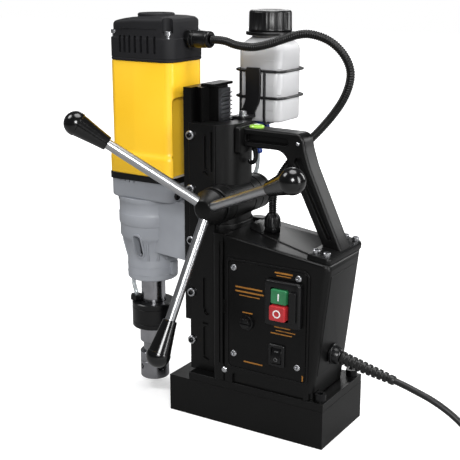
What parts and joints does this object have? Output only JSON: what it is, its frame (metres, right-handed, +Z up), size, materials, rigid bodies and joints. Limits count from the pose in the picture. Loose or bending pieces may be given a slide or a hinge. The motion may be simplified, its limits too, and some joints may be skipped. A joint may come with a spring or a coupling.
{
  "type": "magnetic drill press",
  "caption": "Drill press on a magnet foot: a motor and gearbox slide on a dovetail column, fed by a three-spoke wheel, with a coolant bottle and a mains lead.",
  "frame": {"origin": "centre of the magnet's working face", "axes": "+Z up from the workpiece along the drilling axis, +X from the spindle towards the mains lead, -Y towards the control panel"},
  "size_m": [0.65, 0.2979, 0.4605],
  "materials": {
    "black_casting": "satin powder coat",
    "rear_grey": "fine moulded texture",
    "gearbox_grey": "satin enamel",
    "motor_yellow": "semi-gloss moulded",
    "cap_grey": "moulded, fine texture",
    "black_plastic": "moulded",
    "grip_black": "phenolic gloss",
    "panel_black": "printed plate",
    "chrome": "polished",
    "spindle_steel": "ground",
    "plain_steel": "machined",
    "zinc_screws": "zinc plated",
    "black_screws": "black oxide",
    "bronze": "machined",
    "coil": "potted winding",
    "board": "laminate",
    "button_green": "translucent moulded",
    "button_red": "translucent moulded",
    "level_green": "clear liquid under a lens",
    "wire_black": "powder coat",
    "strap_grey": "satin",
    "bottle_white": "translucent polyethylene",
    "valve_blue": "moulded",
    "tube_clear": "clear tube",
    "conduit_black": "corrugated",
    "cord_black": "matt"
  },
  "bodies": {
    "root": {"magnet_block": "black_casting", "magnet_coil": "coil", "foot_plate": "black_casting", "magnet_bolts": "black_screws", "column": "black_casting", "gib_strip": "bronze", "gib_screws": "zinc_screws", "pinion_housing": "black_casting", "pinion_bushes": "bronze", "control_box": "black_casting", "rear_cover": "rear_grey", "panel_plate": "panel_black", "panel_screws": "zinc_screws", "switch_block": "black_plastic", "rocker_frame": "black_plastic", "fuse_holder": "black_plastic", "circuit_board": "board", "handle": "black_casting", "handle_bolts": "zinc_screws", "spirit_level": "level_green", "bottle_bracket": "strap_grey", "bottle_cage": "wire_black", "bottle": "bottle_white", "coolant_valve": "valve_blue", "coolant_tube": "tube_clear", "box_gland": "black_plastic", "conduit": "conduit_black", "cord_gland": "black_plastic", "strain_relief": "cord_black", "power_cord": "cord_black", "cord_coil": "cord_black", "cord_tail": "cord_black", "plug": "cord_black"},
    "green_button": {"green_button": "button_green"},
    "red_button": {"red_button": "button_red"},
    "rocker": {"rocker": "black_plastic"},
    "fuse_cap": {"fuse_cap": "black_plastic"},
    "bottle_cap": {"bottle_cap": "black_plastic"},
    "valve_lever": {"valve_lever": "valve_blue"},
    "carriage": {"slide": "black_casting", "rack": "plain_steel", "gearbox_housing": "gearbox_grey", "carriage_bolts": "black_screws", "air_louvre": "black_plastic", "motor_housing": "motor_yellow", "motor_cap": "cap_grey", "cap_screws": "zinc_screws", "motor_gland": "black_plastic", "stator": "plain_steel", "bearings": "plain_steel", "coolant_ring": "black_plastic", "ring_elbow": "black_plastic"},
    "spindle_turning": {"spindle": "spindle_steel", "arbor_screws": "black_screws", "spindle_gear": "plain_steel"},
    "layshaft": {"layshaft": "plain_steel"},
    "armature": {"armature": "plain_steel"},
    "feed_wheel": {"feed_shaft": "plain_steel", "spokes": "chrome", "grips": "grip_black"}
  },
  "joints": [
    {"name": "carriage_slide", "type": "slide", "parent": "root", "child": "carriage", "axis": [0, 0, 1], "range_m": [-0.012, 0.15], "deforming": ["conduit", "coolant_tube"]},
    {"name": "feed_turn", "type": "hinge", "parent": "root", "child": "feed_wheel", "pos_m": [-0.0395, 0, 0.255], "axis": [0, 1, 0], "range_deg": [-58, 717]},
    {"name": "armature_turn", "type": "hinge", "parent": "carriage", "child": "armature", "pos_m": [-0.146, 0, 0.33], "axis": [0, 0, 1], "continuous": true},
    {"name": "layshaft_turn", "type": "hinge", "parent": "carriage", "child": "layshaft", "pos_m": [-0.1421, 0.01634, 0.26], "axis": [0, 0, 1], "continuous": true},
    {"name": "spindle_turn", "type": "hinge", "parent": "carriage", "child": "spindle_turning", "pos_m": [-0.158, 0, 0.1], "axis": [0, 0, 1], "continuous": true},
    {"name": "green_press", "type": "slide", "parent": "root", "child": "green_button", "axis": [0, 1, 0], "range_m": [0, 0.0025], "stiffness_N_per_m": 400, "springref_m": -0.002},
    {"name": "red_press", "type": "slide", "parent": "root", "child": "red_button", "axis": [0, 1, 0], "range_m": [0, 0.0025], "stiffness_N_per_m": 400, "springref_m": -0.002},
    {"name": "rocker_tip", "type": "hinge", "parent": "root", "child": "rocker", "pos_m": [0.0445, -0.0498, 0.099], "axis": [1, 0, 0], "range_deg": [0, 12]},
    {"name": "fuse_cap_turn", "type": "hinge", "parent": "root", "child": "fuse_cap", "pos_m": [0.0065, -0.055, 0.13], "axis": [0, 1, 0], "range_deg": [0, 60]},
    {"name": "bottle_cap_turn", "type": "hinge", "parent": "root", "child": "bottle_cap", "pos_m": [-0.037, 0.0705, 0.448], "axis": [0, 0, 1], "range_deg": [0, 270]},
    {"name": "valve_turn", "type": "hinge", "parent": "root", "child": "valve_lever", "pos_m": [-0.042, 0.07, 0.312], "axis": [1, 0, 0], "range_deg": [0, 90]}
  ],
  "couplings": [
    {"joint": "feed_turn", "follows": "carriage_slide", "rad_per_m": 83.333},
    {"joint": "layshaft_turn", "follows": "armature_turn", "ratio": -0.27273},
    {"joint": "spindle_turn", "follows": "armature_turn", "ratio": 0.072727}
  ]
}
